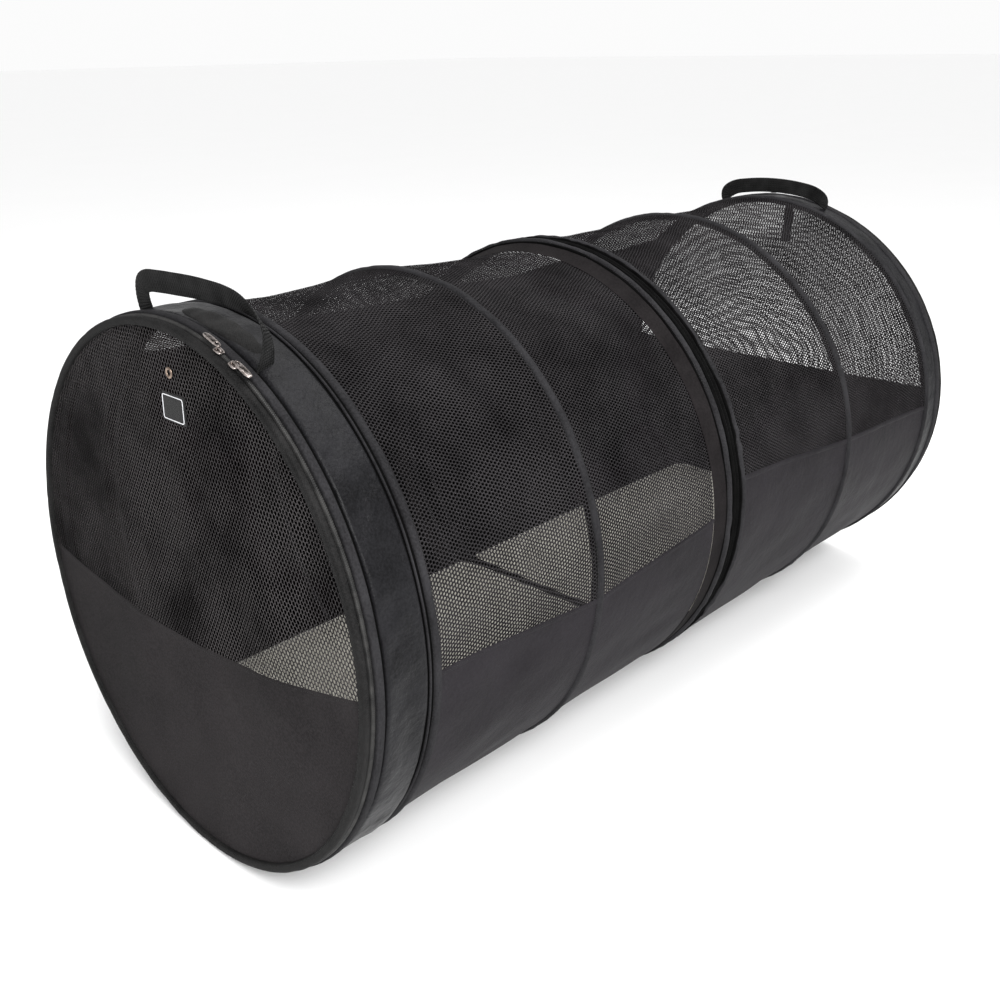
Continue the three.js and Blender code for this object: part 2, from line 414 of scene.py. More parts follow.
def coil_material():
    shader = Shader("coil", Specular_IOR_Level=0.15)
    wear = shader.ramp(shader.noise(60, 3), 0.35, 0.65)
    shader.colour(shader.mix(wear, grey(0.010), grey(0.030, 0.0293, 0.0284)))
    shader.rough(shader.math("MULTIPLY_ADD", wear, 0.15, 0.32))
    shader.bump(shader.noise(1500, 2), 0.04 * MM)
    return shader.material


WEBBING_RIB = 3.2 * MM


def webbing_material():
    shader = Shader("webbing", Specular_IOR_Level=0.05)
    u, v = shader.cloth_axes()
    turn = 2 * math.pi / WEBBING_RIB
    slant = shader.math("ADD", shader.math("MULTIPLY", u, turn), shader.math("MULTIPLY", v, turn * 0.9))
    threads = shader.ramp(shader.math("SINE", slant), -1, 1)
    patches = shader.ramp(shader.noise(40, 3), 0.35, 0.65)
    tone = shader.math("MULTIPLY_ADD", threads, 0.5, shader.math("MULTIPLY", patches, 0.5))
    shader.colour(shader.mix(tone, grey(0.0015), grey(0.0200)))
    shader.rough(shader.ramp(patches, 0, 1, 0.45, 0.6))
    shader.bump(threads, 0.25 * MM)
    return shader.material


def metal_material(name, low, high, roughness):
    shader = Shader(name, Metallic=1.0)
    scuffs = shader.ramp(shader.noise(220, 4), 0.4, 0.7)
    shader.colour(shader.mix(scuffs, low, high))
    shader.rough(shader.math("MULTIPLY_ADD", scuffs, 0.18, roughness))
    shader.bump(shader.noise(700, 3), 0.05 * MM, 0.6)
    return shader.material


def fleece_material():
    shader = Shader("board_cover", Sheen_Weight=0.5, Sheen_Roughness=0.5)
    tufts = shader.noise(420, 4, 0.7)
    patches = shader.ramp(shader.noise(9, 3), 0.35, 0.65)
    tone = shader.math("MULTIPLY_ADD", tufts, 0.6, shader.math("MULTIPLY", patches, 0.4))
    shader.colour(shader.mix(tone, grey(0.50, 0.48, 0.41), grey(0.78, 0.75, 0.66)))
    shader.rough(shader.math("MULTIPLY_ADD", tufts, 0.15, 0.8))
    shader.bump(tufts, 0.9 * MM)
    return shader.material


def label_material(name, low, high):
    return cloth_material(name, low, high, 0.7 * MM, roughness=0.6, bump=0.08, patch=50, sheen=0.1).material


MESH = mesh_material("mesh", grey(0.0090, 0.0085, 0.0090), grey(0.0360, 0.0338, 0.0354), WALL_HOLE_PITCH)
DOOR_MESH = mesh_material(
    "door_mesh", grey(0.0090, 0.0085, 0.0088), grey(0.0680, 0.0634, 0.0642), DOOR_HOLE_PITCH, hole=0.375,
)
SLEEVE = cloth_material(
    "sleeve", grey(0.0070, 0.0068, 0.0073), grey(0.0290, 0.0283, 0.0304), 1.6 * MM, roughness=0.68,
).material
BAND = band_material()
WALL = wall_material()
DOOR_PANEL = door_panel_material()
BINDING = cloth_material(
    "binding", grey(0.0025), grey(0.0170, 0.0165, 0.0165), 2.6 * MM,
    roughness=0.6, bump=0.3, patch=30, gloss=0.06,
).material
# Near-black cloth on inner faces, hems and flaps: painted shade inside the tunnel, darker than the cloth
# itself.
SHADE_LINING = cloth_material(
    "shade_lining", grey(0.0012), grey(0.0034), 1.0 * MM, roughness=0.8, bump=0.08, patch=9, gloss=0.01,
).material
COIL = coil_material()
WEBBING = webbing_material()
ZIP_METAL = metal_material("zip_metal", grey(0.22, 0.19, 0.175), grey(0.52, 0.47, 0.45), 0.24)
EYELET = metal_material("eyelet_metal", grey(0.18, 0.13, 0.10), grey(0.42, 0.33, 0.27), 0.3)
WIRE = metal_material("spring_wire", grey(0.35, 0.36, 0.37), grey(0.6, 0.61, 0.62), 0.3)
FLEECE = fleece_material()
# Cloth of the strip at the middle joint, darker than the walls: painted shade of the joint before hoop D.
SHADED_STRIP = cloth_material(
    "strip", grey(0.0050, 0.0044, 0.0046), grey(0.0150, 0.0134, 0.0138), 1.4 * MM,
    roughness=0.7, bump=0.1, patch=20, gloss=0.02,
).material
# Darker cloth for the middle zip and the folds beside it: painted shade in the joint between hoops D and E.
GROOVE_SHADE = cloth_material(
    "groove_shade", grey(0.0016), grey(0.0052), 1.4 * MM, roughness=0.7, bump=0.1, patch=40, gloss=0.015,
).material
LABEL = label_material("label", grey(0.006), grey(0.016))
LABEL_EDGE = label_material("label_edge", grey(0.45, 0.45, 0.47), grey(0.78, 0.78, 0.80))
THREAD = label_material("thread", grey(0.006), grey(0.018))

# ---------------------------------------------------------------- hoops and their sleeves

BODY = {ring: ring for ring in RINGS}
BODY.update(front="front_end", rear="rear_end")
TURN = spans(361)[:-1] * 360
TURN_UV = np.radians(spans(361) * 360) * RADIUS


def ring_tube(piece, section, material, seed, unevenness):
    """A closed section of (radius, y) points turned round the axis, sunk and shifted unevenly."""
    section = np.array(section)
    angle = TURN[:, None]
    points = around(angle, section[:, 0][None], section[:, 1][None])
    lift = (ripple(points, seed, 9) + 0.5 * ripple(points, seed + 5, 40)) * unevenness
    points = around(angle, section[:, 0][None] - np.abs(lift), section[:, 1][None] + lift * 0.6)
    step = np.linalg.norm(np.diff(section, axis=0, append=section[:1]), axis=1)
    run = np.concatenate([[0], np.cumsum(step)])
    uv = np.stack(np.meshgrid(TURN_UV, run, indexing="ij"), axis=-1)
    piece.grid(points, material, uv, wrap=(True, True))


def oval(r, y, half_r, half_y, power=2.6, count=20):
    """A rounded section, as (radius, y) points."""
    t = 2 * math.pi * spans(count + 1)[:-1]
    a = signed_power(np.cos(t), 2 / power)
    b = signed_power(np.sin(t), 2 / power)
    return [(r + half_r * p, y + half_y * q) for p, q in zip(a, b)]


SLEEVE_DEPTH = 11 * MM
STITCH_TURN = spans(721) * 360  # the angles that a row of stitches round the tunnel runs through


def hoop_sleeve(ring, width_share, power, shift, rumple):
    """The cloth round a hoop, and a hem inside it that closes the seams beside it; the hem is painted near
    black as shade.
    """
    piece = Piece(f"{ring}_cover")
    y = STATION[ring] + shift
    half = SLEEVE_DEPTH / 2
    section = oval(RADIUS - half, y, half, SLEEVE_HALF * width_share, power)
    ring_tube(piece, section, SLEEVE, RINGS.index(ring), rumple)
    hem = oval(RADIUS - 7.2 * MM, STATION[ring], 3.2 * MM, SLEEVE_HALF + 0.5 * MM, 6, 24)
    ring_tube(piece, hem, SHADE_LINING, RINGS.index(ring), 0.0)
    for side in (-1, 1):
        edge = around(STITCH_TURN, RADIUS - 3.1 * MM, y + side * SLEEVE_HALF * width_share * 0.86)
        out = around(STITCH_TURN, 1.0, 0.0) - around(0.0, 0.0, 0.0)
        out[:, 1] = side * 0.9
        piece.stitches(edge, out)
    piece.build(BODY[ring], [f"{ring}_sleeve"], solid=True)


# Each sleeve: its share of the CAD sleeve's width, how square it is, its shift and how rumpled it is
SLEEVE_SHAPES = {
    "front": (0.66, 4.5, -2.2 * MM, 0.2 * MM),
    "ring_b": (0.68, 2.4, 1.6 * MM, 0.35 * MM),
    "ring_c": (0.78, 2.4, 0.0, 0.6 * MM),
    "ring_d": (0.6, 2.3, -1.6 * MM, 0.9 * MM),
    "ring_e": (0.6, 2.3, 1.6 * MM, 1.4 * MM),
    "ring_f": (0.78, 2.4, 0.0, 0.6 * MM),
    "ring_g": (0.7, 2.4, -1.0 * MM, 0.35 * MM),
    "rear": (0.8, 3.5, 1.2 * MM, 0.3 * MM),
}
for ring in RINGS:
    hoop_sleeve(ring, *SLEEVE_SHAPES[ring])
    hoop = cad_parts[f"{ring}_hoop"]
    hoop.data.materials.clear()
    hoop.data.materials.append(WIRE)

# ---------------------------------------------------------------- walls

# Where the near edge of the mesh meets the closed fabric, at each hoop
NEAR_SEAM = {
    "ring_b": 91.7, "ring_c": 94.6, "ring_d": 91.0, "ring_e": 83.6, "ring_f": 87.9, "ring_g": 90.2,
}
FAR_SEAM = -46.0
SEAM_WIDTH = 1.3  # degrees of closed cloth folded over the mesh's edge
SEAM_OVERLAP = 0.35
TUCK = 4 * MM  # how far cloth reaches under a sleeve's edge
WALL_RADIUS = RADIUS - 3.6 * MM
MESH_DEPTH = 1.15 * MM  # the knitted mesh is a spacer cloth with a front, a core and a back
CORE_DEPTH = 0.45 * MM
DOOR_MESH_DEPTH = 0.6 * MM


def topness(angle):
    """1 where the unsupported cloth sags most, high on the far side, and 0 opposite."""
    return 0.5 + 0.5 * np.cos(np.radians(angle + 20))


def wall_points(angle, t, ends, sag, end_drop, seed):
    """Cloth between two hoops: t runs from 0 at the first to 1 at the second.

    sag is the drop half way along, everywhere and at the top; end_drop lowers the second end's top.
    """
    y = ends[0] + (ends[1] - ends[0]) * t
    high = topness(angle)
    drop = (sag[0] + sag[1] * high) * np.sin(math.pi * t ** 0.85) + end_drop * high * t ** 1.6
    flat = around(angle, WALL_RADIUS, y)
    held = np.sin(math.pi * t) ** 0.6
    folds = ripple(flat, seed, 5, (1, 0.35, 1)) * 1.7 * MM
    folds = folds + ripple(flat, seed + 50, 15, (1, 0.5, 1)) * 0.8 * MM
    return around(angle, WALL_RADIUS - drop + folds * held, y)


def outward_from_axis(points):
    out = points - np.array([0, 0, RADIUS])
    out[..., 1] = 0
    return unit(out)


def wall_uv(angle, y):
    return np.stack(np.broadcast_arrays(np.radians(angle) * WALL_RADIUS, y), axis=-1)


def half_bay(index, ring_a, ring_b, sag, end_drop=0.0, stop=0.0):
    """The mesh wall and the closed wall of one bay, sewn together along two seams."""
    y0 = STATION[ring_a] + SLEEVE_HALF - TUCK
    y1 = STATION[ring_b] - SLEEVE_HALF + TUCK - stop
    rows = 61
    t = spans(rows)[None, :]
    near = (NEAR_SEAM[ring_a] + (NEAR_SEAM[ring_b] - NEAR_SEAM[ring_a]) * spans(rows))[None, :]
    far = np.full_like(near, FAR_SEAM)
    far_round = np.full_like(near, 360 + FAR_SEAM)

    def patch(first, last, columns, lift=0.0):
        angle = first + (last - first) * spans(columns)[:, None]
        points = wall_points(angle, t, (y0, y1), sag, end_drop, 10 + index)
        if lift:
            points = points + outward_from_axis(points) * lift
        return points, wall_uv(angle, y0 + (y1 - y0) * t)

    mesh = Piece(f"mesh_wall_{index}_cloth")
    points, uv = patch(far, near, 201)
    mesh.grid(points, MESH, uv)
    inner, uv = patch(far, near, 201, -MESH_DEPTH)
    mesh.grid(inner, MESH, uv, flip=True)
    mesh_piece = mesh.build(ring_a, [f"mesh_wall_{index}"])
    core = Piece(f"mesh_wall_{index}_core")
    points, uv = patch(far, near, 201, -CORE_DEPTH)
    core.grid(points, MESH, uv)
    core_piece = core.build(ring_a)

    closed = Piece(f"closed_wall_{index}_cloth")
    points, uv = patch(near, far_round, 261)
    closed.grid(points, WALL, uv)
    # The closed wall's inner face is painted near black: painted shade inside the tunnel.
    shade_lining, uv = patch(near, far_round, 261, -1.0 * MM)
    closed.grid(shade_lining, SHADE_LINING, uv, flip=True)
    for first, outward in ((near - SEAM_OVERLAP, 1), (far_round + SEAM_OVERLAP, -1)):
        share = np.array([0, 0.12, 0.88, 1.0])[:, None]
        lift = np.array([0.1, 0.9, 0.9, 0.05])[:, None, None] * MM
        angle = first + outward * SEAM_WIDTH * share
        points = wall_points(angle, t, (y0, y1), sag, end_drop, 10 + index)
        out = outward_from_axis(points)
        points = points + out * lift
        closed.grid(points, WALL, wall_uv(angle, y0 + (y1 - y0) * t), flip=outward < 0)
        closed.stitches((points[1] + points[2]) / 2, out[1])
    closed_piece = closed.build(ring_a, [f"closed_wall_{index}"])

    for piece in (mesh_piece, closed_piece, core_piece):
        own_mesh(piece)


STRIP_END_DROP = 12 * MM
strip_low = centre("joint_strip").y - half_size("joint_strip").y
strip_high = STATION["ring_d"] - SLEEVE_HALF + TUCK
strip_back = strip_high - strip_low
half_bay(1, "ring_b", "ring_c", (1.5 * MM, 6.5 * MM))
half_bay(2, "ring_c", "ring_d", (1 * MM, 4 * MM), STRIP_END_DROP, strip_back)
half_bay(3, "ring_e", "ring_f", (1.5 * MM, 6 * MM))
half_bay(4, "ring_f", "ring_g", (1.5 * MM, 5 * MM))


EDGE_ROLL_REACH = 1.2 * MM


def band(name, node, y0, y1, r0, r1, body, material, wrinkle, edge_roll=0.0):
    """A closed ring of cloth from one radius to another, with soft wrinkles."""
    piece = Piece(name)
    t = (0.5 - 0.5 * np.cos(math.pi * spans(45)))[None, :]
    angle = TURN[:, None]
    flat = around(angle, RADIUS, y0 + (y1 - y0) * t)
    held = np.sin(math.pi * t) ** 0.5
    folds = ripple(flat, 31, 7) * 0.7 + ripple(flat, 32, 17) * 0.4 + ripple(flat, 33, 34) * 0.18
    folds = folds * wrinkle
    roll = np.exp(-t * (y1 - y0) / EDGE_ROLL_REACH) + np.exp(-(1 - t) * (y1 - y0) / EDGE_ROLL_REACH)
    r = r0(angle) + (r1(angle) - r0(angle)) * t + np.minimum(folds, wrinkle) * held - roll * edge_roll
    points = around(angle, r, y0 + (y1 - y0) * t)
    uv_angle = (spans(361) * 360)[:, None]
    piece.grid(points, material, wall_uv(uv_angle, y0 + (y1 - y0) * t), wrap=(True, False))
    made = piece.build(body, [node])
    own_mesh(made)


def level(r):
    """The same radius all the way round."""
    return lambda angle: r + 0 * angle


def strip_start_radius(angle):
    """Where the strip leaves the second bay's walls, which have sagged there."""
    return WALL_RADIUS + 0.5 * MM - STRIP_END_DROP * topness(angle)


FRONT_BAND_HELD = 5.6 * MM  # how much of the band's pitch the front sleeve holds
FRONT_BAND_START = STATION["front"] + FRONT_BAND_HELD
REAR_BAND_START = STATION["ring_g"] + SLEEVE_HALF - TUCK
REAR_BAND_HELD = 2 * MM
band(
    "front_band_cloth", "front_band", FRONT_BAND_START, STATION["ring_b"] - SLEEVE_HALF - 3.4 * MM,
    level(RADIUS - 1.6 * MM), level(RADIUS - 1.6 * MM), "front_end",
    BAND, 2.2 * MM, 4 * MM,
)
band(
    "rear_band_cloth", "rear_band", REAR_BAND_START, STATION["rear"] - REAR_BAND_HELD,
    level(RADIUS - 3 * MM), level(RADIUS - 1.8 * MM), "ring_g",
    BAND, 1.5 * MM, 2 * MM,
)
# The joint strip wears painted shade: its cloth is darker than the walls beside it.
band(
    "joint_strip_cloth", "joint_strip", strip_low, strip_high, strip_start_radius, level(RADIUS - 5 * MM),
    "ring_d", SHADED_STRIP, 0.8 * MM,
)

# Thin piping sewn in beside the second hoop, backed by a hem painted near black as shade
piping = Piece("front_band_piping")
piping_y = STATION["ring_b"] - SLEEVE_HALF - 1.6 * MM
ring_tube(piping, oval(RADIUS - 2.2 * MM, piping_y, 1.6 * MM, 1.1 * MM, 2.0, 10), SLEEVE, 41, 0.15 * MM)
ring_tube(piping, oval(RADIUS - 6.0 * MM, piping_y, 2.0 * MM, 3.6 * MM, 4.0, 12), SHADE_LINING, 42, 0.0)
piping.build("ring_b", solid=True)

# ---------------------------------------------------------------- zips

TOOTH_PITCH = 2.2 * MM
TAPE_REACH = 4 * MM  # how far a zip's tape runs under the sleeve beside it
TAPE_RIM_REACH = 0.8 * MM  # and how far it runs towards the door's binding


def zip_coil(name, node, body, tape_low=0.0, tape_high=0.0, material=COIL):
    """A coil zip lying round the tunnel: a crowned strip of slanting teeth on a flat tape."""
    piece = Piece(name)
    low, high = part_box(node)
    middle, half = (low.y + high.y) / 2, (high.y - low.y) / 2
    outer = RADIUS - 2.3 * MM
    teeth = round(2 * math.pi * RADIUS / TOOTH_PITCH)
    angle = (np.arange(teeth * 4) / (teeth * 4) * 360)[:, None]
    across = np.array([-1, -0.82, -0.55, -0.28, -0.08, 0.08, 0.28, 0.55, 0.82, 1])[None, :]
    phase = 2 * math.pi * teeth * angle / 360 + np.where(across < 0, 0, math.pi) + 1.4 * np.abs(across)
    crown = np.sqrt(np.clip(1 - np.abs(across) ** 3, 0, 1))
    r = outer - 2.2 * MM + crown * 1.6 * MM + crown * np.cos(phase) * 0.55 * MM
    points = around(angle, r, middle + across * half)
    uv_angle = np.radians(np.arange(teeth * 4 + 1) / (teeth * 4) * 360)[:, None] * RADIUS
    uv = np.stack(np.broadcast_arrays(uv_angle, middle + across * half), axis=-1)
    piece.grid(points, material, uv, wrap=(True, False))
    low_edge, high_edge = middle - half - tape_low, middle + half + tape_high
    tape = [
        (outer - 2.2 * MM, low_edge), (outer - 2.2 * MM, high_edge),
        (outer - 3.4 * MM, high_edge), (outer - 3.4 * MM, low_edge),
    ]
    ring_tube(piece, tape, BINDING, 43, 0.0)
    piece.build(body, [node])


zip_coil("front_zip", "front_zip_coil", "front_end", TAPE_RIM_REACH, TAPE_REACH)
zip_coil("rear_zip", "rear_zip_coil", "rear_end", TAPE_REACH, TAPE_RIM_REACH)
# The middle zip's halves are darker than the other zips: painted shade in the joint.
zip_coil("middle_zip_front_half", "middle_zip_front", "ring_d", TAPE_REACH, 0.0, GROOVE_SHADE)
zip_coil("middle_zip_rear_half", "middle_zip_rear", "ring_e", 0.0, TAPE_REACH, GROOVE_SHADE)


def zip_lip(ring, side, seed):
    """A thin crumpled fold of cloth beside the middle zip, painted dark as shade; hoop D's also has the flap
    that backs the zip.
    """
    piece = Piece(f"middle_zip_lip_{ring}")
    y = STATION[ring] + side * 5.2 * MM
    ring_tube(piece, oval(RADIUS - 3.4 * MM, y, 3.0 * MM, 0.8 * MM, 2.0, 12), GROOVE_SHADE, seed, 1.3 * MM)
    if ring == "ring_d":
        flap_middle = (STATION["ring_d"] + STATION["ring_e"]) / 2 - 1.5 * MM
        # The flap is painted near black: painted shade behind the zip.
        ring_tube(piece, oval(RADIUS - 9 * MM, flap_middle, 0.8 * MM, 5.6 * MM, 4.0, 16), SHADE_LINING, seed + 1, 0.0)
    piece.build(ring, solid=True)


zip_lip("ring_d", 1, 47)
zip_lip("ring_e", -1, 49)

# ---------------------------------------------------------------- doors

DOOR_RADIUS = RADIUS - 2.8 * MM
RIM_WIDTH = 10 * MM


def front_seam(x):
    """The height of the sagging seam between mesh and closed cloth, in metres over the floor."""
    return 0.257 + 0.036 * (x / 0.3) ** 2 + 0.012 * (x / 0.3)


def rear_seam(x):
    """The same for the rear door, whose seam is nearly level."""
    return 0.314 + 0.004 * (x / 0.3) ** 2


def door_depth(x, z, seed):
    """How far the slack door cloth stands in from the rim's face."""
    share = np.clip(np.hypot(x, z - RADIUS) / (DOOR_RADIUS - RIM_WIDTH), 0, 1)
    flat = np.stack(np.broadcast_arrays(x, 0 * x, z), axis=-1)
    folds = ripple(flat, seed, 5, (1.3, 0, 0.5)) * 1.1 * MM
    folds = folds + ripple(flat, seed + 1, 13, (1.2, 0, 0.6)) * 0.35 * MM
    return 4.2 * MM - 1.6 * MM * (1 - share ** 2) - folds * (1 - share ** 4)


DOOR_TUCK = 3 * MM  # how far the door's cloth reaches under its binding


def door(end, face, inward, seam, body):
    """A door's mesh, closed panel and binding."""
    clear = DOOR_RADIUS - RIM_WIDTH + DOOR_TUCK
    reach = math.sqrt(clear ** 2 - (seam(clear) - RADIUS) ** 2) * 0.9995
    x = (-reach + 2 * reach * (0.5 - 0.5 * np.cos(math.pi * spans(121))))[:, None]
    bottom, top = RADIUS - np.sqrt(clear ** 2 - x ** 2), RADIUS + np.sqrt(clear ** 2 - x ** 2)
    line = np.clip(seam(x), bottom, top)
    seed = 60 if end == "front" else 70

    def patch(low, high, rows, lift=0.0):
        z = low + (high - low) * spans(rows)[None, :]
        wide = x + 0 * z
        y = face + inward * (door_depth(wide, z, seed) - lift)
        return np.stack([wide, y, z], axis=-1), np.stack([wide, z], axis=-1)

    mesh = Piece(f"{end}_door_mesh_cloth")
    points, uv = patch(line, top, 71)
    mesh.grid(points, DOOR_MESH, uv, flip=end == "rear")
    mesh_piece = mesh.build(body, [f"{end}_door_mesh"])
    inner = Piece(f"{end}_door_mesh_back")
    points, uv = patch(line, top, 71, -DOOR_MESH_DEPTH)
    inner.grid(points, DOOR_MESH, uv, flip=end == "front")
    inner_piece = inner.build(body)

    panel = Piece(f"{end}_door_panel_cloth")
    points, uv = patch(bottom, line, 91)
    panel.grid(points, DOOR_PANEL, uv, flip=end == "rear")
    hem, uv = patch(np.maximum(line - 7 * MM, bottom), line, 5, 0.5 * MM)
    hem[:, 0, 1] += inward * 0.45 * MM
    hem[:, -1, 1] += inward * 0.45 * MM
    panel.grid(hem, DOOR_PANEL, uv, flip=end == "rear")
    out = np.tile(np.array([0, -inward, 0.0]), (len(x), 1))
    panel.stitches(hem[:, 2], out)
    panel_piece = panel.build(None, [f"{end}_door_panel", f"{end}_sill"])

    rim = Piece(f"{end}_door_binding")
    middle = face + inward * 4.4 * MM
    ring_tube(rim, oval(DOOR_RADIUS - 5 * MM, middle, 5 * MM, 4.1 * MM, 2.8, 18), BINDING, 45, 0.3 * MM)
    edge = around(STITCH_TURN, DOOR_RADIUS - 8.6 * MM, face + inward * 0.75 * MM)
    rim.stitches(edge, np.tile(np.array([0, -inward, 0.0]), (len(edge), 1)))
    rim_piece = rim.build(None, [f"{end}_door_rim"], solid=True)

    for piece in (panel_piece, rim_piece):
        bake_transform(piece)
    panel_height = seam(0) - RADIUS + clear


door("front", FRONT_FACE, 1, front_seam, "front_door")
door("rear", REAR_FACE, -1, rear_seam, "rear_door")

# ---------------------------------------------------------------- metal

def rounded_block(piece, size, at, material, power=5.0, taper=0.0, rows=20, columns=28):
    """A block with rounded edges; taper narrows its +X end."""
    v = math.pi * (spans(rows) - 0.5)[None, :]
    u = 2 * math.pi * spans(columns + 1)[:-1, None]

    def soft(value):
        return signed_power(value, 2 / power)

    x = soft(np.cos(v)) * soft(np.cos(u)) * size[0] / 2
    y = soft(np.cos(v)) * soft(np.sin(u)) * size[1] / 2
    z = soft(np.sin(v)) * size[2] / 2 + 0 * u
    y = y * (1 - taper * (x / size[0] + 0.5))
    piece.grid(np.stack([x, y, z], axis=-1) + np.array(at), material, wrap=(True, False))


def zip_place(angle, station):
    """The place on a zip at an angle round the tunnel: +X along the zip, +Z outwards."""
    turn = Matrix.Rotation(math.radians(angle), 4, "Y")
    return Matrix.Translation((0, station, RADIUS)) @ turn


# A pull's section from its slot to its edge and back: shares of that way and of its thickness
PLATE_SECTION = (
    (0, -0.5), (0.12, -0.5), (0.9, -0.5), (1, -0.2), (1, 0.2), (0.9, 0.5), (0.12, 0.5), (0, 0.5),
)


def plate(piece, length, width, thickness, hole, height, direction, material):
    """A flat pull with rounded ends and edges and a slot through it; hole is its x, length and width."""
    t = 2 * math.pi * spans(49)[:-1, None]
    hole_x, hole_length, hole_width = hole
    narrowing = 0.86 + 0.14 * np.cos(t)
    outer = np.concatenate([
        length / 2 * signed_power(np.cos(t), 2 / 3.2),
        width / 2 * signed_power(np.sin(t), 2 / 3.2) * narrowing,
    ], axis=1)
    inner = np.concatenate([
        hole_x + hole_length / 2 * signed_power(np.cos(t), 2 / 3),
        hole_width / 2 * signed_power(np.sin(t), 2 / 3),
    ], axis=1)
    loops = []
    for share, z in PLATE_SECTION:
        flat = inner + (outer - inner) * share
        along = direction * (length / 2 + flat[:, 0])
        loops.append(np.stack([along, flat[:, 1], np.full(len(t), height + z * thickness)], axis=-1))
    piece.grid(np.stack(loops, axis=1), material, wrap=(True, True))


SLIDER_HEIGHT = 4.6 * MM
PULL_GAP = 0.3 * MM
PULL_THICKNESS = 1.6 * MM


def zip_slider(prefix, side, direction):
    """A slider and its pull, where the frame has them; direction is the way the pull lies along the zip."""
    at = centre(f"{prefix}_slider{side}")
    place = zip_place(math.degrees(math.atan2(at.x, at.z - RADIUS)), at.y)
    base = RADIUS - 0.5 * MM
    body = Piece(f"{prefix}_slider{side}_body", place)
    rounded_block(body, (11 * MM, 9.4 * MM, 2.0 * MM), (0, 0, base + 0.9 * MM), ZIP_METAL, 4, 0.18)
    rounded_block(body, (7.4 * MM, 2.6 * MM, 2.2 * MM), (0, 0, base + 3.2 * MM), ZIP_METAL, 3.2)
    for x in (-3.4, 3.4):
        rounded_block(body, (2.2 * MM, 3.4 * MM, 2.6 * MM), (x * MM, 0, base + 2.3 * MM), ZIP_METAL, 3)
    body.build(f"{prefix}_slider{side}", [f"{prefix}_slider{side}"], solid=True)

    pull = Piece(f"{prefix}_pull{side}_plate", place)
    height = base + SLIDER_HEIGHT + PULL_GAP + PULL_THICKNESS / 2
    hole = (-8.4 * MM, 5 * MM, 3.8 * MM)
    plate(pull, 26 * MM, 8 * MM, PULL_THICKNESS, hole, height, direction, ZIP_METAL)
    pull.build(f"{prefix}_pull{side}", [f"{prefix}_pull{side}"], solid=True)


for end in ("front", "rear"):
    zip_slider(end, "_left", -1)
    zip_slider(end, "_right", 1)
zip_slider("middle", "", 1)

# ---------------------------------------------------------------- label, eyelet and straps

LABEL_BORDER_INSET = 2.4 * MM
LABEL_THICKNESS = 0.9 * MM

label_middle, label_half = centre("front_door_label"), half_size("front_door_label")
label = Piece("front_door_label_patch")
edge_x = spans(41, -1, 1)[:, None]
edge_z = spans(31, -1, 1)[None, :]
curl = (np.abs(edge_x) ** 4 + np.abs(edge_z) ** 4) * 0.4 * MM
label_y = label_middle.y - 0.3 * MM
soft_x = edge_x * label_half.x * (1 - 0.02 * np.abs(edge_z) ** 8)
soft_z = edge_z * label_half.z * (1 - 0.02 * np.abs(edge_x) ** 8)
label_points = np.stack([
    label_middle.x + soft_x + 0 * edge_z, label_y + curl, label_middle.z + soft_z + 0 * edge_x,
], axis=-1)
label_uv = label_points[..., [0, 2]]
label.grid(label_points, LABEL, label_uv)
label.grid(label_points + np.array([0, LABEL_THICKNESS, 0]), LABEL, label_uv, flip=True)
label.build("front_door", ["front_door_label"])

border_turn = 2 * math.pi * (spans(49)[:-1] + 1 / 16)
border_x = (label_half.x - LABEL_BORDER_INSET) * signed_power(np.cos(border_turn), 2 / 14)
border_z = (label_half.z - LABEL_BORDER_INSET) * signed_power(np.sin(border_turn), 2 / 14)
border = np.stack([
    label_middle.x + border_x, np.full(len(border_turn), label_y - 0.25 * MM), label_middle.z + border_z,
], axis=-1)


def closed_cord(piece, path, half_width, half_height, normal, material, count=8):
    """A thin closed roll along a closed path."""
    along = unit(np.roll(path, -1, axis=0) - np.roll(path, 1, axis=0))
    up = np.tile(np.array(normal, float), (len(path), 1))
    side = unit(np.cross(along, up))
    t = 2 * math.pi * spans(count + 1)[:-1]
    points = path[:, None] + side[:, None] * (half_width * np.cos(t))[None, :, None]
    points = points + up[:, None] * (half_height * np.sin(t))[None, :, None]
    piece.grid(points, material, wrap=(True, True))


edge = Piece("front_door_label_border")
closed_cord(edge, border, 0.55 * MM, 0.3 * MM, (0, -1, 0), LABEL_EDGE)
edge.build("front_door", solid=True)

eyelet_middle, eyelet_half = centre("front_door_eyelet"), half_size("front_door_eyelet")
eyelet = Piece("front_door_eyelet_ring")
EYELET_HOLE = 3 * MM
eyelet_radius = (eyelet_half.x + EYELET_HOLE) / 2
eyelet_turn = 2 * math.pi * spans(65)[:-1]
circle = np.stack([
    eyelet_middle.x + eyelet_radius * np.cos(eyelet_turn),
    np.full(len(eyelet_turn), eyelet_middle.y - 0.5 * MM),
    eyelet_middle.z + eyelet_radius * np.sin(eyelet_turn),
], axis=-1)
closed_cord(eyelet, circle, (eyelet_half.x - EYELET_HOLE) / 2, 1.0 * MM, (0, -1, 0), EYELET, 14)
eyelet.build("front_door", ["front_door_eyelet"], solid=True)


RIBBON_STEP = 0.4 * MM
RIB_DEPTH = 0.5  # the share of the webbing's thickness that it loses between its ribs


